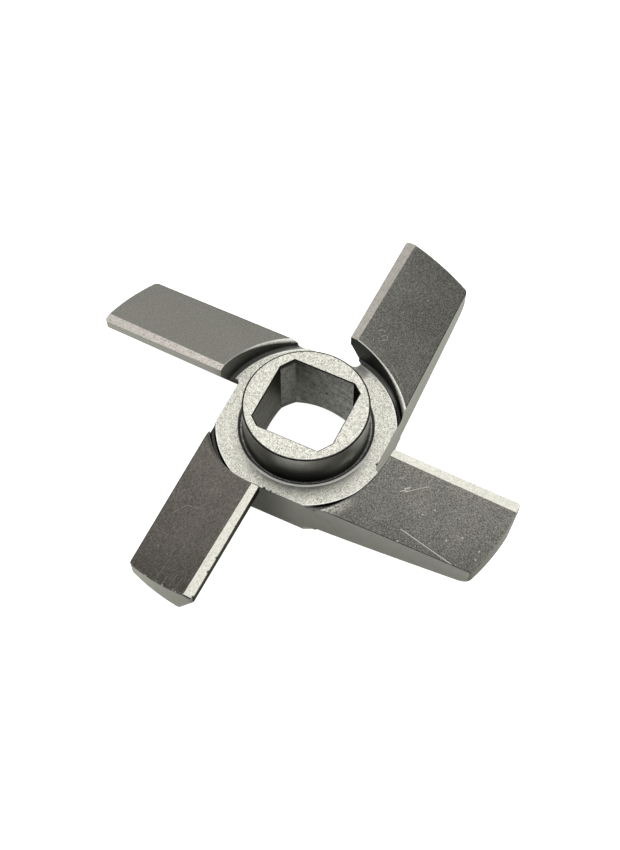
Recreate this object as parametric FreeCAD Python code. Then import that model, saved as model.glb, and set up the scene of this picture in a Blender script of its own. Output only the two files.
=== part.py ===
import FreeCAD, Part
import math
import os

# Four-bladed meat grinder knife, cast in one piece and turned on its hub.
# Millimetres, +Z up. The origin is on the axis, in the flat face that the hub rests on.
# Blade 0 points along +X and the knife turns counter-clockwise seen from above,
# so each blade's cutting edge is on its +Y side before it is turned into place.

# Blades
blade_count = 4
tip_radius = 48.0            # circle that the blade tips run on
tip_draft = 2.5              # degrees, tip face leans in towards the underside
tip_lower_radius = 3.2       # rounding of the tip's lower edge
land_height = 16.7           # cutting lands above the resting face
trailing_offset = 17.3       # from the axis to the flat back of each blade
leading_offset_axis = 0.4    # from the axis line back to the cutting edge, at the axis
leading_offset_tip = 1.2     # the same at the tip
land_width_axis = 1.3        # flat land behind the cutting edge, at the axis
land_width_tip = 2.1         # the same at the tip
top_angle = 18.0             # degrees, the ground top falls from the land to the back
lip_height_axis = 2.9        # upright face under the cutting edge, at the axis
lip_height_tip = 2.0         # the same at the tip
back_edge_radius = 1.0       # round the back's lower edge and its corner with the tip
undercut_edge_radius = 0.8   # round the undercut's lower edge and its corner with the tip
wall_edge_radius_land = 0.1  # broken edge along the top of the turned wall, at the land
wall_edge_radius_back = 0.8  # the same at the blade's back
undercut_angle = 28.0        # degrees from upright, below the lip
underside_angle = 9.2        # degrees, the underside rises towards the tip
underside_height_hub = 1.7   # height of the underside where it leaves the hub

# Hub
hub_radius = 18.9            # flange and resting face
hub_height = 18.7            # boss top above the resting face
flange_height = 10.5         # flange face above the resting face
boss_radius = 13.2
boss_edge_break = 0.2
pad_chamfer = 0.5            # between the resting pad and the blades' underside
foot_groove_width = 1.1      # turned groove round the foot of the boss
foot_groove_depth = 0.35
wall_gap = 1.2               # between the flange's edge and the turned wall that ends the blades
wall_groove_depth = 0.6      # below the flange, between its edge and the wall
wall_groove_slant = 0.3      # how far each of its sides slants
notch_radius = 1.1           # round relief where a blade meets its neighbour's back
notch_recess = 1.0           # how far the relief sinks into the leading face

# Square drive hole, with flats across its corners
drive_flat = 17.5            # across flats
corner_wide_along = 2.0      # legs of two opposite corner cuts, along blade 0 and across it
corner_wide_across = 2.9
corner_narrow_along = 2.1    # legs of the other two
corner_narrow_across = 1.7
drive_edge_break = 0.2
countersink_radius = 12.8    # in the resting face
countersink_angle = 45.0     # degrees from the axis

# How far a cutting shape runs past the faces that it cuts
over = 1.0

wall_radius = hub_radius + wall_gap

# How near a point has to be to a surface to count as on it
near = 0.01

node = "grinder_knife"
V = FreeCAD.Vector
axis_z = V(0, 0, 1)
origin = V(0, 0, 0)


def corner_points(before, corner, after):
    """Points that a turned outline passes at one corner: the corner, or its rounding's arc."""
    here = V(corner[0], 0, corner[1])
    if len(corner) == 2:
        return [here]
    rounding = corner[2]
    back = V(before[0], 0, before[1]).sub(here).normalize()
    ahead = V(after[0], 0, after[1]).sub(here).normalize()
    half_angle = back.getAngle(ahead) / 2
    reach = rounding / math.tan(half_angle)
    bisector = back.add(ahead).normalize()
    to_arc = rounding / math.sin(half_angle) - rounding
    return [here + back * reach, here + bisector * to_arc, here + ahead * reach]


def turned(corners):
    """Solid turned round the axis from its outline's corners: radius, height and any rounding."""
    stops = []
    for index, corner in enumerate(corners):
        after = corners[(index + 1) % len(corners)]
        stops.append(corner_points(corners[index - 1], corner, after))
    edges = []
    for index, stop in enumerate(stops):
        if len(stop) == 3:
            edges.append(Part.Arc(*stop).toShape())
        edges.append(Part.LineSegment(stop[-1], stops[(index + 1) % len(stops)][0]).toShape())
    return Part.Face(Part.Wire(edges)).revolve(origin, axis_z, 360)


def round_copies(shape):
    """One copy of a blade feature for each blade."""
    copies = []
    for index in range(blade_count):
        placed = shape.copy()
        placed.rotate(origin, axis_z, index * 360.0 / blade_count)
        copies.append(placed)
    return copies


def along(value_axis, value_tip, x):
    """Straight-line change of a size from the axis to the tip."""
    return value_axis + (value_tip - value_axis) * x / tip_radius


def underside(radius):
    """Height of the blades' coned underside."""
    return underside_height_hub + (radius - hub_radius) * math.tan(math.radians(underside_angle))


def leading_edge(x):
    """Where the cutting edge lies, across the blade."""
    return -along(leading_offset_axis, leading_offset_tip, x)


def land_border(x):
    """Where the flat land meets the ground top, across the blade."""
    return leading_edge(x) - along(land_width_axis, land_width_tip, x)


def lip_foot(x):
    """Height where the upright lip turns into the undercut."""
    return land_height - along(lip_height_axis, lip_height_tip, x)


def blade_section(x):
    """Corners of a blade's upright section, square to its length, down past its underside."""
    leading = leading_edge(x)
    border = land_border(x)
    lip = lip_foot(x)
    back = land_height - (border + trailing_offset) * math.tan(math.radians(top_angle))
    foot = leading - (lip + over) * math.tan(math.radians(undercut_angle))
    return [
        V(x, -trailing_offset, -over),
        V(x, -trailing_offset, back),
        V(x, border, land_height),
        V(x, leading, land_height),
        V(x, leading, lip),
        V(x, foot, -over),
    ]


def flat_face(corners):
    return Part.Face(Part.makePolygon(corners + [corners[0]]))


def blade_bar():
    """Flat-sided bar with the blade's section, from the axis to past the tip."""
    inner = blade_section(0)
    outer = blade_section(tip_radius + over)
    faces = [flat_face(inner), flat_face(outer)]
    for index in range(len(inner)):
        ahead = (index + 1) % len(inner)
        faces.append(flat_face([inner[index], inner[ahead], outer[ahead], outer[index]]))
    return Part.Solid(Part.Shell(faces))


def edges_where(shape, test):
    """Edges of a shape whose middle point passes a test."""
    found = []
    for edge in shape.Edges:
        middle = edge.valueAt((edge.FirstParameter + edge.LastParameter) / 2)
        if test(middle):
            found.append(edge)
    return found


def close(value, target):
    return abs(value - target) < near


def outside_wall(point):
    return math.hypot(point.x, point.y) > wall_radius + near


def on_land(point):
    return close(point.z, land_height)


def on_top(point):
    fall = (land_border(point.x) - point.y) * math.tan(math.radians(top_angle))
    return close(point.z, land_height - fall) and not on_land(point)


def on_upright(point):
    return close(point.y, leading_edge(point.x)) and not on_land(point)


def on_undercut(point):
    set_back = (lip_foot(point.x) - point.z) * math.tan(math.radians(undercut_angle))
    return close(point.y, leading_edge(point.x) - set_back)


def back_lower_edge(point):
    """Edges of the flat back, apart from its edge with the ground top."""
    return close(point.y, -trailing_offset) and not on_top(point) and outside_wall(point)


def leading_lower_edge(point):
    """Edges of the leading side, apart from the cutting edge and the lip's foot."""
    return on_upright(point) != on_undercut(point) and outside_wall(point)


def wall_edge(point):
    """Edge of the ground top along the turned wall."""
    return on_top(point) and close(math.hypot(point.x, point.y), wall_radius)


def blade():
    """Bar trimmed by the underside, the tip and the turned wall, with its edges rounded."""
    bore = Part.makeCylinder(wall_radius, hub_height, V(0, 0, flange_height))
    shape = blade_bar().common(blade_outline())
    shape = shape.makeFillet(back_edge_radius, edges_where(shape, back_lower_edge))
    shape = shape.makeFillet(undercut_edge_radius, edges_where(shape, leading_lower_edge))
    shape = shape.cut(bore)
    return shape.makeFillet(wall_edge_radius_land, wall_edge_radius_back, edges_where(shape, wall_edge))


def blade_outline():
    """Turned outline that trims the blades: coned underside, rounded lower edge, leaning tip."""
    lean = math.tan(math.radians(tip_draft))
    slope = math.tan(math.radians(underside_angle))
    top = hub_height + over

    # The tip face leans in from the land down to the coned underside
    low_radius = (tip_radius - (land_height - underside(0)) * lean) / (1 - slope * lean)
    high_radius = tip_radius + (top - land_height) * lean
    return turned([
        (0, underside(0)),
        (low_radius, underside(low_radius), tip_lower_radius),
        (high_radius, top),
        (0, top),
    ])


def hub_blank():
    """Turned blank with a resting pad, and four flats in line with the blades' backs."""
    side = 2 * trailing_offset
    height = hub_height + 2 * over
    block = Part.makeBox(side, side, height, V(-side / 2, -side / 2, -over))
    blank = turned([
        (0, 0),
        (hub_radius, 0),
        (hub_radius, underside(hub_radius) - pad_chamfer),
        (hub_radius + pad_chamfer, underside(hub_radius + pad_chamfer)),
        (wall_radius, underside(wall_radius)),
        (wall_radius, flange_height),
        (boss_radius, flange_height),
        (boss_radius, hub_height),
        (0, hub_height),
    ])
    return block.common(blank)


def ring_clearance():
    """Ring cut round the boss, down to the flange, with a groove at either side of the flange."""
    top = hub_height + over
    foot_floor = flange_height - foot_groove_depth
    wall_floor = flange_height - wall_groove_depth
    return turned([
        (boss_radius - boss_edge_break, top),
        (boss_radius - boss_edge_break, hub_height),
        (boss_radius, hub_height - boss_edge_break),
        (boss_radius, foot_floor),
        (boss_radius + foot_groove_width / 2, foot_floor),
        (boss_radius + foot_groove_width, flange_height),
        (hub_radius, flange_height),
        (hub_radius + wall_groove_slant, wall_floor),
        (wall_radius - wall_groove_slant, wall_floor),
        (wall_radius, wall_floor + wall_groove_slant),
        (wall_radius, top),
    ])


def notch():
    """Round relief, sunk into the leading face and parallel to it, beside the neighbour's back."""
    x = trailing_offset + notch_radius
    lip = lip_foot(x)
    lean = math.tan(math.radians(undercut_angle))
    centre = leading_edge(x) - notch_recess + notch_radius
    low = V(x, centre - (lip + over) * lean, -over)
    high = V(x, centre + over * lean, lip + over)
    way = high.sub(low)
    return Part.makeCylinder(notch_radius, way.Length, low, way)


def drive_outline(grow, z):
    """Outline of the drive hole, square to the blades, with its corners cut off."""
    half = drive_flat / 2 + grow
    corners = []
    for side_x, side_y in ((1, 1), (-1, 1), (-1, -1), (1, -1)):
        narrow = side_x == side_y
        along_leg = corner_narrow_along if narrow else corner_wide_along
        across_leg = corner_narrow_across if narrow else corner_wide_across
        on_x_flat = V(side_x * half, side_y * (half - across_leg), z)
        on_y_flat = V(side_x * (half - along_leg), side_y * half, z)
        corners += [on_x_flat, on_y_flat] if narrow else [on_y_flat, on_x_flat]
    return Part.makePolygon(corners + [corners[0]])


def drive_hole():
    """Through hole with a small break at its top edge and a countersink below."""
    depth = hub_height + 2 * over
    hole = Part.Face(drive_outline(0, -over)).extrude(V(0, 0, depth))
    mouth = Part.makeLoft([
        drive_outline(0, hub_height - drive_edge_break),
        drive_outline(drive_edge_break + over, hub_height + over),
    ], True, True)
    cone_height = countersink_radius / math.tan(math.radians(countersink_angle))
    wide = countersink_radius * (cone_height + over) / cone_height
    sink = Part.makeCone(wide, 0, cone_height + over, V(0, 0, -over))
    return hole.fuse([mouth, sink])


def grinder_knife():
    body = hub_blank().fuse(round_copies(blade()))
    body = body.cut(round_copies(notch()))
    body = body.cut(ring_clearance())
    body = body.cut(drive_hole())
    return body.removeSplitter()


os.makedirs("parts", exist_ok=True)
knife = grinder_knife()
print(node, "solids", len(knife.Solids), "valid", knife.isValid(), "volume", round(knife.Volume, 1))
knife.Solids[0].exportStep("parts/" + node + ".step")
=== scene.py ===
import bpy
import math
from mathutils import Matrix, Vector

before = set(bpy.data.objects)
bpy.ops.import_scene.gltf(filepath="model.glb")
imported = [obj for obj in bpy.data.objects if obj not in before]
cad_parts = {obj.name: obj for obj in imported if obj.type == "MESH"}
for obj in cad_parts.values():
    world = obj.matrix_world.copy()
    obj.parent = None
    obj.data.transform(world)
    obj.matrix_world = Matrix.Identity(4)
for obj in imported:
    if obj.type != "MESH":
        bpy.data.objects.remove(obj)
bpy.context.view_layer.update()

MM = 0.001
NODE = "grinder_knife"
BLADES = range(4)

# Camera, from a perspective fit of the photograph's edges
camera_azimuth = math.radians(25.76)
camera_elevation = math.radians(59.57)
camera_distance = 343.1 * MM
camera_across = 0.78 * MM
camera_up = -4.15 * MM
camera_clip = 0.01
aim_height = 18.67 * MM
focal_pixels = 1682.6
image_height = 850.0
sensor_mm = 36.0

# Light
world_level = 0.55
key_place = (-0.13, 0.32, 0.94)
key_size = 0.45
key_power = 3.0
fill_place = (0.55, -0.45, 0.60)
fill_size = 0.6
fill_power = 1.2

# Floor, lifted to white only where it is seen
floor_reach = 40.0
floor_colour = 0.85
floor_rough = 0.9
floor_lift = 0.86

# Forms of the solid that the finishes follow, in millimetres
hole_flat = 8.7
hole_reach = 12.3
boss_radius = 13.2
boss_break = 0.2
foot_rim = 14.3
flange_radius = 18.9
wall_radius = 20.1
break_reach = 1.1
hub_reach = 22.5
tip_reach = 44.0
swing_radius = 48.0
back_offset = 17.3
back_reach = 1.0
lip_offset = 3.0
hub_low = 2.0
groove_floor = 9.0
wall_foot = 9.5
flange_height = 10.5
land_height = 16.7
lip_height = 4.0
hub_height = 18.7
top_angle = math.radians(18)
slack = 0.05

# Parts of a facet's normal that tell how it faces
top_like = 0.9985
level_like = 0.995
square_on = 0.99
nearly = 0.9
lip_like = 0.8
inward_like = 0.7
half = 0.5
tilted = 0.3
slight = 0.1

# Tints of the metal
white = (1.0, 1.0, 1.0)
plain_tint = (1.0, 1.0, 0.93)
break_tint = (1.0, 0.99, 0.93)
side_tint = (1.0, 1.0, 0.91)
highlight_tint = (1.0, 0.985, 0.90)
warm = (1.0, 0.985, 0.875)
sandy = (1.0, 0.975, 0.86)
olive = (1.0, 0.99, 0.875)
brown = (1.0, 0.92, 0.80)
rosy = (1.0, 0.94, 0.85)

# Tones of painted shade in dark lines and grooves, and of nicks, stains, scratches and pits
outline_shade_tone = 0.04
shade_line_and_mark_tone = 0.03
nick_tone = 0.06
scratch_tone = 0.02
pit_and_shade_tone = 0.015
pit_and_shade_black = 0.01
shade_tone = 0.008

# Tones of painted highlights and painted shade, and of rubbed metal, burrs, patches and smears
rim_highlight_tone = 0.98
root_highlight_tone = 0.80
edge_highlight_tone = 0.72
rubbed_tone = 0.62
burr_tone = 0.5
patch_tone = 0.42
front_shade_tones = (0.24, 0.48)
smear_tone = 0.17

# Roughness over the low and the high end of a finish's pattern
blasted_rough = (0.56, 0.48)
ground_rough = (0.55, 0.38)
smooth_rough = (0.37, 0.47)
turned_rough = (0.40, 0.52)
foot_rough = (0.55, 0.45)
rubbed_rough = (0.55, 0.40)
edge_rough = 0.5

# Depths of the bumps, in millimetres
blasted_depth = 0.005
coarse_depth = 0.007
smooth_depth = 0.008
turned_depth = 0.01
rubbed_depth = 0.015
ground_depth = 0.02

# Softened edges, in millimetres
edge_round = 0.15
bevel_samples = 6

# Places of painted light and shade, and of marks, on the hub, in millimetres. The two ways point to
# the camera's side.
front_way = (0.45, -0.89)
boss_front = (0.31, -0.95)
outline_width = 0.42
boss_patch = (12.1, -5.3, 13.8)
flange_smear = (4.6, 16.6, flange_height)
foot_inner = (13.38, 13.52)
foot_outer = (13.66, 13.80)
foot_edge = (13.95, 14.12)
wall_span = (10, 16)
low_wall_span = (10, 15)
groove_span = (9, 11)

# Tones of painted light and shade that follow a height or a way across or along a blade: (place,
# tone)
boss_tones = (
    (10.8, 0.06), (12.0, 0.08), (12.8, 0.14), (13.6, 0.20),
    (15.0, 0.19), (16.5, 0.19), (18.6, 0.26))
back_tones_0 = (
    (-8, 0.012), (-3, 0.010), (-1, 0.018), (2, 0.050),
    (6, 0.103), (14, 0.106), (22, 0.118), (46, 0.122))
back_rise_0 = ((2.0, 0.90), (8.0, 1.0), (11.0, 1.12))
back_tones_1 = ((-18, 0.09), (-10, 0.11), (0, 0.12), (30, 0.12), (46, 0.115))
tip_tones_0 = ((-18, 0.09), (-15, 0.075), (-6, 0.09), (0, 0.09))
tip_tones_3 = ((-18, 0.12), (-6, 0.105), (-3, 0.10), (0, 0.07))
bore_left_tones = ((-6.5, 0.30), (-1.0, 0.26), (1.0, 0.18), (3.0, 0.07), (6.5, 0.05))
bore_far_tones = ((-6.5, 0.68), (-5.0, 0.45), (-3.0, 0.52), (0.0, 0.75), (3.0, 1.0), (7.0, 1.12))
bore_corner_rise = (
    (2.0, 0.25), (7.0, 0.65), (16.0, 0.95), (17.6, 0.9), (17.85, 0.06), (18.7, 0.05))

# Nicks, dots and pits: (point, size)
land_nicks = (
    ((-1.05, -37.9, land_height), 0.35),
    ((-1.1, -41.3, land_height), 0.4),
    ((-1.3, -47.3, land_height), 0.4),
    ((-0.9, -30.2, land_height), 0.25),
)
flange_nicks = (
    ((-1.2, -17.2, flange_height), 0.45),
    ((0.3, -17.25, flange_height), 0.3),
    ((17.3, -2.2, flange_height), 0.5),
    ((8.4, -17.2, flange_height), 0.25),
)
back_dots = (
    ((0.0, -back_offset, 4.9), 0.25),
    ((-1.8, -back_offset, 5.1), 0.2),
    ((9.2, -back_offset, 6.7), 0.18),
    ((-1.2, -back_offset, 10.0), 0.6),
    ((0.3, -back_offset, 9.8), 0.35),
)
bore_pits = (
    ((0.6, hole_flat, 10.5), 0.5),
    ((-3.3, hole_flat, 11.3), 0.3),
    ((-1.0, hole_flat, 9.7), 0.3),
    ((-0.6, hole_flat, 14.4), 0.25),
)

# Scratches: (start, end, width, strength). Points lie along and across a blade on its top,
# and along and up on its back.
scratches_0 = [
    ((27.84, -14.64), (40.3, -17.2), 0.11, 0.9),
    ((24.7, -8.1), (26.0, -7.3), 0.12, 0.9),
    ((25.2, -7.4), (26.6, -6.5), 0.14, 1.0),
    ((25.6, -7.9), (26.7, -7.2), 0.12, 0.9),
    ((26.5, -7.3), (28.2, -6.1), 0.10, 0.7),
    ((28.0, -6.2), (30.1, -4.9), 0.09, 0.6),
    ((23.4, -5.9), (24.6, -5.2), 0.12, 0.5),
    ((28.0, -17.1), (28.8, -17.0), 0.2, 0.7),
]
scratches_0 += [((x, y), (x + 0.5, y + 0.2), 0.2, 0.8) for x, y in (
    (32.5, -8.9), (30.6, -10.6), (39.8, -11.8), (37.0, -13.5), (43.9, -13.0), (43.9, -14.7))]
scratches_1 = (
    ((22.9, -6.6), (24.0, -7.6), 0.1, 0.7),
    ((24.0, -7.6), (24.8, -6.9), 0.1, 0.7),
    ((24.8, -6.9), (23.6, -6.0), 0.1, 0.6),
    ((24.4, -5.0), (25.6, -5.7), 0.1, 0.6),
    ((25.6, -5.7), (24.9, -6.6), 0.1, 0.6),
    ((19.4, -10.4), (16.6, -13.8), 0.1, 0.5),
    ((16.6, -13.8), (15.2, -15.4), 0.1, 0.4),
    ((43.5, -13.1), (44.3, -13.7), 0.12, 0.6),
    ((31.4, -7.4), (31.9, -7.9), 0.15, 0.6),
    ((37.0, -10.8), (37.6, -11.2), 0.15, 0.6),
)
scratches_3 = (
    ((31.3, -14.7), (30.0, -13.6), 0.09, 0.6),
    ((30.0, -13.6), (28.7, -12.7), 0.09, 0.7),
    ((28.7, -12.7), (28.8, -11.2), 0.09, 0.7),
    ((28.8, -11.2), (28.8, -9.6), 0.09, 0.5),
    ((35.0, -12.9), (33.7, -12.7), 0.09, 0.5),
    ((39.4, -13.5), (38.7, -13.9), 0.12, 0.6),
    ((44.6, -8.2), (47.4, -8.6), 0.07, 0.4),
    ((43.8, -6.6), (47.0, -6.9), 0.07, 0.35),
    ((44.2, -5.2), (47.2, -5.4), 0.07, 0.4),
    ((42.9, -9.9), (46.2, -10.3), 0.07, 0.35),
)
back_scratches = (
    ((12.9, 9.1), (15.9, 4.9), 0.14, 0.6),
    ((11.7, 9.7), (14.0, 6.3), 0.10, 0.5),
    ((9.8, 8.9), (11.9, 7.3), 0.08, 0.4),
    ((14.2, 8.6), (17.3, 6.2), 0.08, 0.3),
)


def add_camera():
    """Camera where the photograph's camera stood."""
    a, e = camera_azimuth, camera_elevation
    back = Vector((math.sin(a) * math.cos(e), -math.cos(a) * math.cos(e), math.sin(e)))
    right = Vector((math.cos(a), math.sin(a), 0))
    up = back.cross(right)
    aim = Vector((0, 0, aim_height))
    place = aim + right * camera_across + up * camera_up + back * camera_distance
    turn = Matrix((right, up, back)).transposed().to_4x4()
    data = bpy.data.cameras.new("photo_camera")
    data.sensor_width = sensor_mm
    data.lens = focal_pixels * sensor_mm / image_height
    data.clip_start = camera_clip
    camera = bpy.data.objects.new("photo_camera", data)
    camera.matrix_world = Matrix.Translation(place) @ turn
    bpy.context.collection.objects.link(camera)
    bpy.context.scene.camera = camera


def add_area(name, place, size, power):
    data = bpy.data.lights.new(name, "AREA")
    data.shape = "SQUARE"
    data.size = size
    data.energy = power
    lamp = bpy.data.objects.new(name, data)
    lamp.location = place
    lamp.rotation_euler = (-Vector(place)).to_track_quat("-Z", "Y").to_euler()
    bpy.context.collection.objects.link(lamp)


def add_world():
    world = bpy.data.worlds.new("studio")
    bpy.context.scene.world = world
    world.use_nodes = True
    background = world.node_tree.nodes["Background"]
    background.inputs["Color"].default_value = (1, 1, 1, 1)
    background.inputs["Strength"].default_value = world_level


class Graph:
    """Shorthand for one metal's node tree. Lengths in its patterns are millimetres."""

    def __init__(self, name):
        self.material = bpy.data.materials.new(name)
        self.material.use_nodes = True
        self.tree = self.material.node_tree
        self.bsdf = self.tree.nodes["Principled BSDF"]
        self.bsdf.inputs["Metallic"].default_value = 1.0
        coords = self.node("ShaderNodeTexCoord")
        self.place = self.vector("MULTIPLY", coords.outputs["Object"], (1 / MM, 1 / MM, 1 / MM))

    def node(self, kind, inputs=None, **settings):
        made = self.tree.nodes.new(kind)
        for key, value in settings.items():
            setattr(made, key, value)
        for key, value in (inputs or {}).items():
            self.put(made.inputs[key], value)
        return made

    def put(self, socket, value):
        if isinstance(value, bpy.types.NodeSocket):
            self.tree.links.new(value, socket)
        else:
            socket.default_value = value

    def maths(self, operation, a, b=0.0, clamp=False):
        made = self.node("ShaderNodeMath", {0: a, 1: b}, operation=operation, use_clamp=clamp)
        return made.outputs[0]

    def vector(self, operation, a, b):
        return self.node("ShaderNodeVectorMath", {0: a, 1: b}, operation=operation).outputs[0]

    def add(self, a, b, clamp=False):
        return self.maths("ADD", a, b, clamp)

    def product(self, a, b):
        return self.maths("MULTIPLY", a, b)

    def dot(self, x, y, way):
        """How far (x, y) lies along a way."""
        return self.add(self.product(x, way[0]), self.product(y, way[1]))

    def turned(self, degrees, stretch=(1, 1, 1), place=None):
        """Coordinates turned about the axis, then stretched."""
        turn = self.node(
            "ShaderNodeVectorRotate",
            {"Vector": place or self.place, "Angle": math.radians(degrees)},
            rotation_type="Z_AXIS")
        return self.vector("MULTIPLY", turn.outputs[0], stretch)

    def xyz(self, place=None):
        made = self.node("ShaderNodeSeparateXYZ", {0: place or self.place})
        return made.outputs[0], made.outputs[1], made.outputs[2]

    def on_blade(self, index):
        """Coordinates along, across and up on one blade."""
        return self.xyz(self.turned(-90 * index))

    def radius(self):
        x, y, _ = self.xyz()
        return self.maths("SQRT", self.add(self.product(x, x), self.product(y, y)))

    def noise(self, scale, detail, rough, place=None, curl=0.0):
        """Noise with about as many clouds in a millimetre as its scale says."""
        made = self.node("ShaderNodeTexNoise", {
            "Vector": place or self.place, "Scale": scale, "Detail": detail,
            "Roughness": rough, "Distortion": curl})
        return made.outputs["Fac"]

    def ease(self, value, low, high, out_low=0.0, out_high=1.0):
        """Smooth step from out_low to out_high while value goes from low to high."""
        made = self.node("ShaderNodeMapRange", {
            "Value": value, "From Min": low, "From Max": high,
            "To Min": out_low, "To Max": out_high}, interpolation_type="SMOOTHSTEP")
        return made.outputs["Result"]

    def fall(self, value, low, high, top=1.0):
        """Smooth step from top to 0 while value goes from low to high."""
        return self.ease(value, low, high, top, 0.0)

    def spread(self, noise, low=0.0, high=1.0):
        """A noise's usual range, stretched from low to high."""
        return self.ease(noise, 0.3, 0.7, low, high)

    def near(self, point, inner, outer):
        """1 within the inner distance of a point, falling to 0 at the outer one."""
        made = self.node("ShaderNodeVectorMath", {0: self.place, 1: point}, operation="DISTANCE")
        return self.fall(made.outputs["Value"], inner, outer)

    def speckle(self, strength):
        """Blasted grain, about 0 to 1: fine dark flecks over loose clouds."""
        flecks = self.ease(self.noise(3.6, 3.0, 0.7, curl=1.2), 0.38, 0.57, 0.0, 0.87)
        clouds = self.ease(self.noise(1.4, 3.0, 0.7), 0.36, 0.60, 0.0, 0.22)
        small = self.spread(self.noise(6.5, 1.0, 0.5), -0.3 * strength, 0.3 * strength)
        return self.add(self.add(flecks, clouds), small, clamp=True)

    def ramp(self, value, stops):
        """Tone that follows a value through its (place, tone) stops."""
        low, high = stops[0][0], stops[-1][0]
        part = self.maths("DIVIDE", self.maths("SUBTRACT", value, low), high - low, clamp=True)
        made = self.node("ShaderNodeValToRGB", {0: part})
        points = made.color_ramp.elements
        points[0].color = grey(stops[0][1], white)
        points[1].color = grey(stops[-1][1], white)
        for place, tone in stops[1:-1]:
            points.new((place - low) / (high - low)).color = grey(tone, white)
        return made.outputs["Color"]

    def blend(self, amount, a, b, way="MIX"):
        """Colour a, with b laid over it by an amount."""
        made = self.node("ShaderNodeMix", {0: amount, 6: a, 7: b}, data_type="RGBA", blend_type=way)
        return made.outputs[2]

    def times(self, colour, factor):
        return self.blend(1.0, colour, factor, "MULTIPLY")

    def dotted(self, colour, dots, tone):
        """Colour with round dots of one tone on it."""
        for point, size in dots:
            colour = self.blend(self.near(point, 0.5 * size, size), colour, grey(tone))
        return colour

    def finish(self, colour, rough, height, depth):
        """Connects the shader. The height is a bump of the given depth over softened edges."""
        self.put(self.bsdf.inputs["Base Color"], colour)
        self.put(self.bsdf.inputs["Roughness"], rough)
        edge = self.node("ShaderNodeBevel", {"Radius": edge_round * MM}, samples=bevel_samples)
        bump = self.node("ShaderNodeBump", {
            "Strength": 1.0, "Distance": depth * MM, "Height": height, "Normal": edge.outputs[0]})
        self.put(self.bsdf.inputs["Normal"], bump.outputs[0])
        return self.material


def grey(level, tint=plain_tint):
    """Colour of a level in a tint."""
    return (level * tint[0], level * tint[1], level * tint[2], 1.0)


def even(tone):
    """Stops of a tone that stays the same."""
    return ((0.0, tone), (1.0, tone))


def blasted(name, light, dark, tint, strength, marks=None, depth=blasted_depth):
    """Flat face with a fine grain of flecks."""
    g = Graph(name)
    tone = g.speckle(strength)
    colour = g.blend(tone, grey(dark, tint), grey(light, tint))
    if marks:
        colour = marks(g, colour)
    return g.finish(colour, g.ease(tone, 0.0, 1.0, *blasted_rough), tone, depth)


def boss_outline(g, colour):
    """Painted shade: a dark line round the boss's top, inside its edge."""
    start = boss_radius - outline_width
    return g.blend(g.ease(g.radius(), start, start + 0.08), colour, grey(outline_shade_tone))


def nicked_land(g, colour):
    """Nicks in the land's outer edge, and a painted shade line at both of its ends."""
    colour = g.dotted(colour, land_nicks, nick_tone)
    r = g.radius()
    inner = g.fall(r, wall_radius + 0.08, wall_radius + 0.22)
    outer = g.ease(r, swing_radius - 0.4, swing_radius - 0.25)
    return g.blend(g.add(inner, outer), colour, grey(shade_line_and_mark_tone))


def toward_front(g, r):
    """1 on the side of the hub that faces the photograph's camera, -1 on the far side."""
    x, y, _ = g.xyz()
    return g.maths("DIVIDE", g.dot(x, y, front_way), r)


def worn_flange(g, colour):
    """Flange: painted shade in a ring in front of the boss, painted highlights along its outer edge
    and on the front of its inner rim, with a dark smear and nicks.
    """
    r = g.radius()
    toward = toward_front(g, r)
    reach = g.add(r, g.spread(g.noise(0.35, 2.0, 0.5), -0.5, 0.5))
    # Painted shade: a darker ring in front of the boss, on the camera's side.
    ring = g.product(g.fall(reach, foot_rim + 0.2, foot_rim + 2.0), g.ease(toward, 0.45, 0.95))
    smooth = g.blend(g.noise(2.2, 3.0, 0.6), grey(front_shade_tones[0]), grey(front_shade_tones[1]))
    colour = g.blend(ring, colour, smooth)
    colour = g.blend(g.product(g.near(flange_smear, 0.8, 2.6), 0.85), colour, grey(smear_tone))
    # Painted highlight along the flange's outer edge.
    edge = g.ease(r, flange_radius - 0.35, flange_radius - 0.15)
    colour = g.blend(g.product(edge, 0.9), colour, grey(edge_highlight_tone))
    # Painted highlight on the front of the inner rim, where the metal is made dielectric.
    rim = g.product(g.fall(r, foot_rim + 0.28, foot_rim + 0.40), g.ease(toward, 0.5, 0.75))
    colour = g.blend(rim, colour, grey(rim_highlight_tone, highlight_tint))
    g.put(g.bsdf.inputs["Metallic"], g.maths("SUBTRACT", 1.0, rim))
    return g.dotted(colour, flange_nicks, shade_line_and_mark_tone)


def hairs(g, turn, seed, width, share):
    """Thin curved scratches, as broken contour lines of a slow noise."""
    shifted = g.vector("ADD", g.place, (seed, 2 * seed, 0))
    slow = g.noise(0.55, 2.0, 0.6, g.turned(turn, (0.6, 1.0, 1.0), shifted))
    line = g.fall(g.maths("ABSOLUTE", g.maths("SUBTRACT", slow, 0.5)), 0.0, width)
    start = 1.0 - share
    broken = g.ease(g.noise(0.5, 1.0, 0.5, shifted), start, start + 0.05)
    return g.product(line, broken)


def stroke(g, first, second, start, end, width):
    """One straight scratch between two points given in two of the surface's coordinates."""
    length = math.hypot(end[0] - start[0], end[1] - start[1])
    way = ((end[0] - start[0]) / length, (end[1] - start[1]) / length)
    dx = g.maths("SUBTRACT", first, start[0])
    dy = g.maths("SUBTRACT", second, start[1])
    ahead = g.dot(dx, dy, way)
    aside = g.dot(dx, dy, (-way[1], way[0]))
    near = g.fall(g.maths("ABSOLUTE", aside), 0.3 * width, width)
    taper = min(0.4, 0.4 * length)
    begun = g.ease(ahead, 0.0, taper)
    ended = g.fall(ahead, length - taper, length)
    return g.product(near, g.product(begun, ended))


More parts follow.
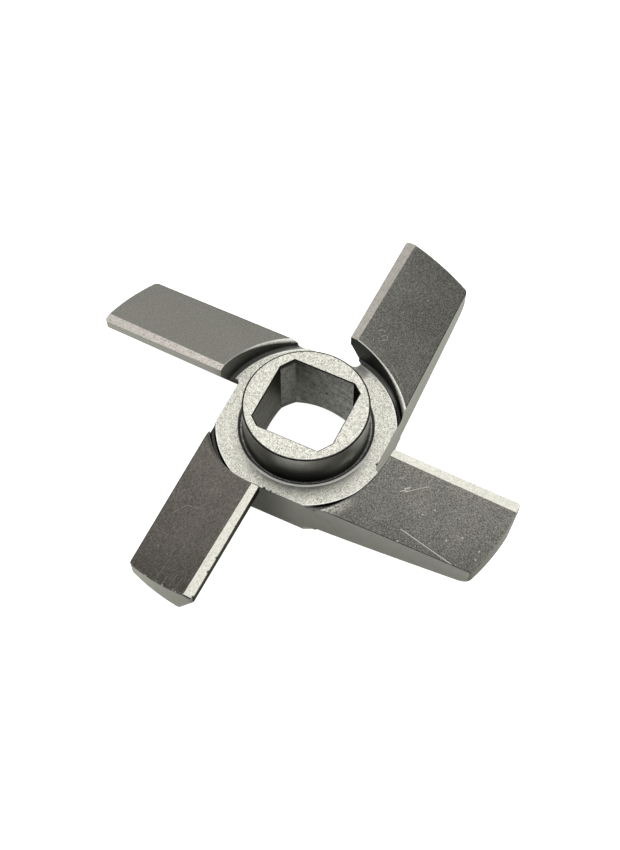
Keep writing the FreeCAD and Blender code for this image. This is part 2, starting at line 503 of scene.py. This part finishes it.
def ground(name, index, low, high, tint, streak, along, across, strokes, hair, break_light,
           burrs=0.3, rub=0.0):
    """Ground blade top: fine grain, strokes along the blade, scratches and a rubbed inner end, with
    painted light and shade in tone ramps along and across it, a painted highlight at its root edge
    and a painted shade line at its back edge.
    """
    g = Graph(name)
    turn = -90 * index
    x, y, _ = g.on_blade(index)
    r = g.radius()
    grain = g.noise(3.8, 3.0, 0.7)
    lines = g.noise(1.0, 2.0, 0.6, g.turned(turn + 12, (1.3, 5.5, 1.0)))
    mixed = g.add(g.product(grain, 1.0 - streak), g.product(lines, streak))
    lit = g.ease(mixed, 0.40, 0.64)
    lit = g.add(lit, g.spread(g.noise(7.0, 1.0, 0.5), -0.3, 0.3))
    lit = g.add(lit, g.spread(g.noise(0.12, 2.0, 0.5), -0.1, 0.1), clamp=True)
    colour = g.blend(lit, grey(low, tint), grey(high, tint))
    # Painted light and shade: tone ramps along and across the blade.
    colour = g.times(g.times(colour, g.ramp(x, along)), g.ramp(y, across))
    first = hairs(g, turn, 3.0, 0.006, hair)
    second = hairs(g, turn + 60, 11.0, 0.005, hair)
    marks = g.product(g.maths("MAXIMUM", first, second), 0.5)
    for start, end, width, strength in strokes:
        marks = g.maths("MAXIMUM", marks, g.product(stroke(g, x, y, start, end, width), strength))
    flecks = g.ease(g.noise(4.2, 1.0, 0.5, g.turned(turn + 35, (0.8, 1.6, 1.0))), 0.60, 0.68)
    marks = g.maths("MAXIMUM", marks, g.product(flecks, 0.3))
    colour = g.blend(marks, colour, grey(high * 2.2, tint))
    # Painted highlight along the top's edge at the root.
    rim = g.fall(r, wall_radius + 0.15, wall_radius + 0.38, break_light)
    colour = g.blend(rim, colour, grey(root_highlight_tone))
    if rub:
        inner = g.fall(r, wall_radius + 0.8, wall_radius + 3.0)
        rubbed = g.product(inner, g.fall(y, -16.0, -12.0, rub))
        flecked = g.ease(g.noise(2.8, 2.0, 0.6, curl=0.8), 0.40, 0.54)
        colour = g.blend(g.product(rubbed, flecked), colour, grey(rubbed_tone, tint))
    # Painted shade: a dark line along the back edge of the top.
    line = g.fall(y, -back_offset + 0.06, -back_offset + 0.22, 0.85)
    colour = g.blend(line, colour, grey(shade_line_and_mark_tone))
    at_tip = g.ease(r, swing_radius - 0.55, swing_radius - 0.35, 0.0, burrs)
    burr = g.product(g.ease(g.noise(1.7, 1.0, 0.5), 0.54, 0.60), at_tip)
    colour = g.blend(burr, colour, grey(burr_tone))
    return g.finish(colour, g.ease(mixed, 0.35, 0.65, *ground_rough), mixed, ground_depth)


def smooth_side(name, stops, index=0, axis=0, scratches=(), dots=(), rise=None, grazing=1.0):
    """Smooth side with faint clouding and dark spots; its tone follows one direction of a blade,
    and its height where a rise is given, as painted light and shade.
    """
    g = Graph(name)
    place = g.on_blade(index)
    fine = g.noise(5.0, 2.0, 0.6)
    clouds = g.spread(g.noise(0.5, 3.0, 0.6), -0.2, 0.2)
    tone = g.add(clouds, g.spread(fine, 0.25, 0.75), clamp=True)
    colour = g.blend(tone, grey(0.90, side_tint), grey(1.10, side_tint))
    # Painted light and shade: tone ramps along one direction and up the blade.
    colour = g.times(colour, g.ramp(place[axis], stops))
    spots = g.ease(g.noise(1.3, 2.0, 0.55), 0.24, 0.34)
    colour = g.times(colour, g.blend(spots, grey(0.55), grey(1.0, white)))
    if rise:
        colour = g.times(colour, g.ramp(place[2], rise))
    for start, end, width, strength in scratches:
        dark = g.product(stroke(g, place[0], place[2], start, end, width), strength)
        colour = g.blend(dark, colour, grey(scratch_tone))
    colour = g.dotted(colour, dots, pit_and_shade_tone)
    # A grazing level below 1 dims this face's reflections: painted shade.
    g.bsdf.inputs["Specular Tint"].default_value = grey(grazing, side_tint)
    return g.finish(colour, g.spread(fine, *smooth_rough), fine, smooth_depth)


def turned_wall(name, index, foot, top, span, across_stops=even(1.0)):
    """Turned wall with fine marks running round it. Its tone ramps up the wall from the foot level
    to the top level and across the blade, as painted light and shade.
    """
    g = Graph(name)
    _, across, z = g.on_blade(index)
    marks = g.noise(1.0, 2.0, 0.5, g.turned(0, (0.05, 0.05, 9.0)))
    rise = g.ease(z, *span)
    rise = g.add(rise, g.spread(marks, -0.08, 0.08))
    rise = g.add(rise, g.ease(g.noise(0.4, 3.0, 0.6), 0.4, 0.7, -0.1, 0.2), clamp=True)
    # Painted light and shade: tone ramps up the wall and across the blade.
    colour = g.times(g.blend(rise, grey(foot), grey(top)), g.ramp(across, across_stops))
    return g.finish(colour, g.spread(g.noise(4.0, 2.0, 0.6), *turned_rough), marks, turned_depth)


def boss_side(name):
    """Smooth, even side of the boss, with painted shade darker towards its foot and darkest low at
    the front, and a lighter patch.
    """
    g = Graph(name)
    x, y, z = g.xyz()
    marks = g.noise(1.0, 2.0, 0.5, g.turned(0, (0.05, 0.05, 7.0)))
    stains = g.noise(0.5, 3.0, 0.6)
    toward = g.maths("DIVIDE", g.dot(x, y, boss_front), boss_radius)
    low = g.product(g.ease(toward, 0.74, 0.97), g.fall(z, 13.0, 17.0, 0.92))
    patch = g.product(g.near(boss_patch, 0.4, 2.4), g.ease(stains, 0.40, 0.55))
    cloud = g.blend(g.noise(2.0, 2.0, 0.6), grey(0.90, side_tint), grey(1.14, side_tint))
    colour = g.times(cloud, g.ramp(z, boss_tones))
    colour = g.times(colour, g.blend(g.spread(marks), grey(0.93, white), grey(1.07, white)))
    stained = g.ease(stains, 0.35, 0.65)
    colour = g.times(colour, g.blend(stained, grey(0.95, white), grey(1.12, white)))
    # Painted shade: darkest low on the front of the boss.
    colour = g.blend(low, colour, grey(shade_tone))
    colour = g.blend(patch, colour, grey(patch_tone))
    return g.finish(colour, g.spread(g.noise(4.0, 2.0, 0.6), *turned_rough), marks, smooth_depth)


def foot_ring(name):
    """Groove round the foot of the boss: painted shade, black inside and dark on its outer slope at
    the front, with a painted highlight on its outer rim at the front.
    """
    g = Graph(name)
    r = g.radius()
    fine = g.noise(4.0, 2.0, 0.6)
    front = g.ease(toward_front(g, r), 0.5, 0.8)
    # Painted shade inside the groove and on its outer slope, darkest at the front.
    inside = g.blend(front, grey(0.05), grey(pit_and_shade_black))
    middle = g.blend(g.ease(fine, 0.4, 0.6), grey(0.14), grey(0.42))
    outside = g.blend(front, grey(0.08), grey(pit_and_shade_tone))
    # Painted highlight on the outer rim at the front, where the metal is made dielectric.
    rim = g.blend(front, grey(0.14), grey(rim_highlight_tone, highlight_tint))
    edge = g.ease(r, *foot_edge)
    colour = g.blend(g.ease(r, *foot_inner), inside, middle)
    colour = g.blend(g.ease(r, *foot_outer), colour, outside)
    colour = g.blend(edge, colour, rim)
    g.put(g.bsdf.inputs["Metallic"], g.fall(g.product(edge, front), 0.0, 1.0, 0.4))
    return g.finish(colour, g.spread(fine, *foot_rough), fine, turned_depth)


def rubbed_edge(name, index, light, dark, stops, line=0.0, outer=None):
    """Rounded edge at a blade's root, rubbed bright. A painted shade line or the top's colour
    narrows it.
    """
    g = Graph(name)
    _, across, _ = g.on_blade(index)
    tone = g.speckle(1.0)
    colour = g.blend(tone, grey(dark, side_tint), grey(light, side_tint))
    colour = g.times(colour, g.ramp(across, stops))
    if outer:
        r = g.add(g.radius(), g.spread(g.noise(2.5, 2.0, 0.6), -0.1, 0.1))
        colour = g.blend(g.ease(r, wall_radius + 0.22, wall_radius + 0.40), colour, outer)
    # Painted shade: a black line along the root.
    if line:
        start = wall_radius + line
        colour = g.blend(g.fall(g.radius(), start, start + 0.1), colour, grey(pit_and_shade_black))
    return g.finish(colour, g.ease(tone, 0.0, 1.0, *rubbed_rough), tone, rubbed_depth)


def bore_wall(name, stops, axis=0, dots=(), rise=None, grazing=1.0):
    """Drive hole's flats: slanting tool marks, stains and a few pits, with painted light and shade
    in tone ramps along a flat and up it.
    """
    g = Graph(name)
    place = g.xyz()
    x, y, z = place
    slant = g.dot(z, g.add(x, y), (2.2, 0.7))
    lines = g.node("ShaderNodeCombineXYZ", {0: slant, 1: g.product(z, 0.3)}).outputs[0]
    marks = g.noise(1.2, 3.0, 0.65, lines)
    tone = g.add(g.spread(marks, 0.0, 0.3), g.spread(g.noise(0.7, 3.0, 0.65), 0.0, 0.45))
    tone = g.add(tone, g.ease(g.noise(3.5, 2.0, 0.65), 0.35, 0.65, -0.2, 0.35), clamp=True)
    colour = g.blend(tone, grey(0.06), grey(0.24))
    colour = g.blend(g.ease(g.noise(1.1, 2.0, 0.5), 0.24, 0.32), grey(shade_line_and_mark_tone), colour)
    # Painted light and shade: tone ramps along the flat and up it.
    colour = g.times(colour, g.ramp(place[axis], stops))
    if rise:
        colour = g.times(colour, g.ramp(z, rise))
    colour = g.dotted(colour, dots, pit_and_shade_black)
    # A grazing level below 1 dims this flat's reflections: painted shade.
    g.bsdf.inputs["Specular Tint"].default_value = grey(grazing, side_tint)
    return g.finish(colour, g.spread(marks, *rubbed_rough), marks, turned_depth)


def broken_edge(name, level):
    """Narrow broken edge of one tone."""
    g = Graph(name)
    fine = g.noise(3.0, 3.0, 0.6)
    colour = g.blend(g.spread(fine), grey(0.8 * level, break_tint), grey(1.2 * level, break_tint))
    return g.finish(colour, edge_rough, fine, turned_depth)


def add_floor():
    """White floor, brighter to the camera and in mirrors and glass than to the light."""
    mesh = bpy.data.meshes.new("floor")
    r = floor_reach
    mesh.from_pydata([(-r, -r, 0), (r, -r, 0), (r, r, 0), (-r, r, 0)], [], [(0, 1, 2, 3)])
    floor = bpy.data.objects.new("floor", mesh)
    bpy.context.collection.objects.link(floor)
    material = bpy.data.materials.new("floor_white")
    material.use_nodes = True
    tree = material.node_tree
    bsdf = tree.nodes["Principled BSDF"]
    bsdf.inputs["Base Color"].default_value = (floor_colour, floor_colour, floor_colour, 1)
    bsdf.inputs["Roughness"].default_value = floor_rough
    bsdf.inputs["Emission Color"].default_value = (1, 1, 1, 1)
    rays = tree.nodes.new("ShaderNodeLightPath")
    seen = rays.outputs["Is Camera Ray"]
    for name in ("Is Glossy Ray", "Is Transmission Ray"):
        both = tree.nodes.new("ShaderNodeMath")
        both.operation = "MAXIMUM"
        tree.links.new(seen, both.inputs[0])
        tree.links.new(rays.outputs[name], both.inputs[1])
        seen = both.outputs[0]
    lift = tree.nodes.new("ShaderNodeMath")
    lift.operation = "MULTIPLY"
    tree.links.new(seen, lift.inputs[0])
    lift.inputs[1].default_value = floor_lift
    tree.links.new(lift.outputs[0], bsdf.inputs["Emission Strength"])
    mesh.materials.append(material)


def blade_of(x, y):
    """Which blade a point belongs to, and how far across that blade it lies."""
    for index in BLADES:
        if x > 0 and -back_offset - slack <= y <= slack:
            return index, y
        x, y = y, -x
    return 0, y


def falling(normal, index):
    """Part of a normal toward a blade's back."""
    turn = math.radians(90 * index)
    return normal.x * math.sin(turn) - normal.y * math.cos(turn)


def hole_region(z, normal):
    """Name of the finish in the drive hole."""
    up = normal.z
    if z > hub_height - 2 * boss_break and up > tilted:
        return "hole_break_far" if normal.y < -tilted or normal.x > tilted else "hole_break_near"
    if up < -tilted:
        return "underside"
    if normal.x > nearly:
        return "bore_left"
    if normal.y < -nearly:
        return "bore_far"
    if normal.y < -tilted:
        return "bore_corner" if normal.x > 0 else "bore_corner_right"
    return "bore"


def region(centre, normal):
    """Name of the finish that a facet gets, from where it lies and faces."""
    x, y, z = (value / MM for value in centre)
    r = math.hypot(x, y)
    up = normal.z
    index, across = blade_of(x, y)
    blade = "_" + str(index)
    if up > level_like:
        if z > hub_height - slack:
            return "boss_top"
        if z > land_height - slack:
            return "land" + blade
        if abs(z - flange_height) < slack and r > foot_rim - slack:
            return "flange"
    if r < boss_radius - boss_break - slack or (r < hole_reach and z > slack):
        return hole_region(z, normal)
    if r < boss_radius + slack and z > wall_foot:
        return "boss_break" if up > tilted else "boss_wall"
    if groove_floor < z < flange_height + slack and up > slight:
        if r < foot_rim + slack:
            return "foot_groove"
        if r < wall_radius + slack:
            return "wall_groove" + blade
    outward = (normal.x * x + normal.y * y) / r
    if z > wall_foot and r < wall_radius + slack and outward < -inward_like:
        return "outer_wall" + blade
    falls = falling(normal, index)
    level = up * math.cos(top_angle) + falls * math.sin(top_angle)
    if z > flange_height:
        if level > top_like and up > nearly:
            return "top" + blade
        if r < wall_radius + break_reach and up > slight and outward < tilted:
            return "wall_break" + blade
    if up < -half:
        return "underside"
    for back in BLADES:
        off = abs(normal.x * x + normal.y * y - back_offset)
        if falling(normal, back) > square_on and off < back_reach:
            return "back_" + str(back)
    if r > tip_reach and outward > half:
        return "tip" + blade
    by_edge = z > land_height - lip_height and across > -lip_offset
    if by_edge and abs(up) < slight and falls < -lip_like:
        return "lip" + blade
    return "hub_side" if r < hub_reach and z > hub_low else "side"


def make_finishes():
    """Every finish by the name of its region. The order is the order of the material slots."""
    return {
        # Levels that differ between the blades' tops, backs, tips, lips and walls are painted light
        # and shade: lit and shaded copies of one finish.
        "boss_top": blasted(
            "blasted_boss", light=0.675, dark=0.27, tint=warm, strength=1.3,
            marks=boss_outline, depth=coarse_depth),
        "land_0": blasted("blasted_land_0", light=0.605, dark=0.49, tint=warm, strength=0.6),
        "land_1": blasted("ground_land_1", light=0.365, dark=0.275, tint=rosy, strength=0.6),
        "land_2": blasted("blasted_land_2", light=0.505, dark=0.305, tint=rosy, strength=0.8),
        "land_3": blasted(
            "blasted_land_3", light=0.585, dark=0.445, tint=warm, strength=0.8, marks=nicked_land),
        "flange": blasted(
            "blasted_flange", light=0.67, dark=0.24, tint=warm, strength=1.4,
            marks=worn_flange, depth=coarse_depth),
        # Painted shade: the hole's far breaks are nearly black, its near breaks lighter.
        "hole_break_far": broken_edge("hole_break_far", level=0.02),
        "hole_break_near": broken_edge("hole_break_near", level=0.35),
        "bore": bore_wall("bore_wall", even(1.0)),
        "bore_left": bore_wall("bore_left", bore_left_tones, axis=1, grazing=0.82),
        "bore_far": bore_wall("bore_far", bore_far_tones, dots=bore_pits),
        "bore_corner": bore_wall("bore_corner", even(1.0), rise=bore_corner_rise),
        "bore_corner_right": bore_wall("bore_corner_right", even(0.25), grazing=0.25),
        # Painted shade: the boss's broken edge is nearly black.
        "boss_break": broken_edge("boss_break", level=0.02),
        "boss_wall": boss_side("boss_wall"),
        "foot_groove": foot_ring("foot_groove"),
        "top_0": ground(
            "ground_top_0", 0, low=0.12, high=0.33, tint=sandy, streak=0.2, along=even(1.0),
            across=((-back_offset, 0.80), (-13.0, 0.92), (-8.0, 1.0), (-2.0, 1.06)),
            strokes=scratches_0, hair=0.4, break_light=0.1, rub=1.0),
        "top_1": ground(
            "ground_top_1", 1, low=0.09, high=0.265, tint=olive, streak=0.3,
            along=((20, 1.08), (30, 0.98), (48, 0.97)),
            across=((-back_offset, 0.92), (-10.0, 0.96), (-2.0, 1.08)),
            strokes=scratches_1, hair=0.4, break_light=0.8),
        "top_2": ground(
            "ground_top_2", 2, low=0.265, high=0.34, tint=sandy, streak=0.2, along=even(1.0),
            across=((-back_offset, 0.99), (-2.0, 1.02)),
            strokes=(), hair=0.2, break_light=0.5),
        "top_3": ground(
            "ground_top_3", 3, low=0.105, high=0.25, tint=brown, streak=0.5,
            along=((20, 1.28), (28, 1.16), (36, 1.05), (41, 0.88), (47, 0.70)),
            across=((-back_offset, 0.97), (-2.0, 1.0)),
            strokes=scratches_3, hair=0.35, break_light=0.15, burrs=0.8),
        "back_0": smooth_side(
            "back_0", back_tones_0, scratches=back_scratches, dots=back_dots, rise=back_rise_0),
        "back_1": smooth_side("back_1", back_tones_1, 1),
        "back_2": smooth_side("back_2", even(0.20), 2),
        "back_3": smooth_side("back_3", even(0.20), 3),
        # Painted shade: the hub's sides are darker than the other sides.
        "hub_side": smooth_side("hub_side", even(0.05), grazing=0.5),
        "side": smooth_side("smooth_side", even(0.17)),
        "underside": smooth_side("underside", even(0.26)),
        "tip_0": smooth_side("tip_0", tip_tones_0, 0, axis=1, grazing=0.75),
        "tip_1": smooth_side("tip_1", even(0.15), 1),
        "tip_2": smooth_side("tip_2", even(0.15), 2),
        "tip_3": smooth_side("tip_3", tip_tones_3, 3, axis=1),
        "wall_break_0": rubbed_edge(
            "rubbed_edge_0", 0, light=0.75, dark=0.25, line=0.2,
            stops=((-back_offset, 1.0), (-14.5, 0.7), (-12.0, 0.30), (-1.0, 0.25))),
        "wall_break_1": rubbed_edge(
            "rubbed_edge_1", 1, light=0.90, dark=0.60,
            stops=((-back_offset, 0.8), (-14.0, 1.0), (-1.0, 0.9))),
        "wall_break_2": rubbed_edge(
            "rubbed_edge_2", 2, light=1.0, dark=0.65,
            stops=((-back_offset, 1.0), (-11.0, 0.85), (-7.0, 0.50), (-1.0, 0.35))),
        "wall_break_3": rubbed_edge(
            "rubbed_edge_3", 3, light=0.42, dark=0.28, outer=grey(0.17, brown),
            stops=((-back_offset, 1.6), (-14.5, 1.0), (-1.0, 0.9))),
        "outer_wall_0": turned_wall(
            "outer_wall_0", 0, foot=0.02, top=0.03, span=wall_span,
            across_stops=((-17.4, 6.0), (-15.5, 2.0), (0, 1.0))),
        "outer_wall_1": turned_wall(
            "outer_wall_1", 1, foot=0.07, top=0.055, span=wall_span,
            across_stops=((-18, 0.9), (-12, 0.9), (-6, 0.8), (-2, 1.2))),
        "outer_wall_2": turned_wall(
            "outer_wall_2", 2, foot=0.15, top=0.21, span=low_wall_span,
            across_stops=((-18, 1.2), (-10, 0.95), (-3, 1.3))),
        "outer_wall_3": turned_wall("outer_wall_3", 3, foot=0.035, top=0.045, span=wall_span),
        "wall_groove_0": turned_wall(
            "wall_groove_0", 0, foot=0.012, top=0.012, span=groove_span,
            across_stops=((-17.4, 10.0), (-15.5, 3.0), (-13.0, 1.0), (0, 1.0))),
        "wall_groove_1": turned_wall(
            "wall_groove_1", 1, foot=0.25, top=0.25, span=groove_span,
            across_stops=((-18, 0.05), (-15, 0.08), (-12.5, 0.7), (0, 1.0))),
        "wall_groove_2": turned_wall(
            "wall_groove_2", 2, foot=0.20, top=0.26, span=groove_span,
            across_stops=((-18, 1.0), (-2, 0.7))),
        "wall_groove_3": turned_wall(
            "wall_groove_3", 3, foot=0.030, top=0.035, span=groove_span),
        # Painted shade: lip_2 is darker near the hub, lip_3 dark all over.
        "lip_0": smooth_side("lip_0", even(0.17), 0),
        "lip_1": smooth_side("lip_1", even(0.17), 1),
        "lip_2": smooth_side("lip_2", ((18, 0.05), (22, 0.2), (48, 0.2)), 2),
        "lip_3": smooth_side("lip_3", even(0.03), 3, grazing=0.45),
    }


def dress():
    """Gives each facet of the knife its finish."""
    finishes = make_finishes()
    slots = {name: slot for slot, name in enumerate(finishes)}
    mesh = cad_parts[NODE].data
    mesh.materials.clear()
    for material in finishes.values():
        mesh.materials.append(material)
    for face in mesh.polygons:
        face.material_index = slots[region(face.center, face.normal)]


bpy.context.scene.view_settings.view_transform = "Standard"
add_camera()
add_floor()
add_area("key", key_place, key_size, key_power)
add_area("fill", fill_place, fill_size, fill_power)
add_world()
dress()
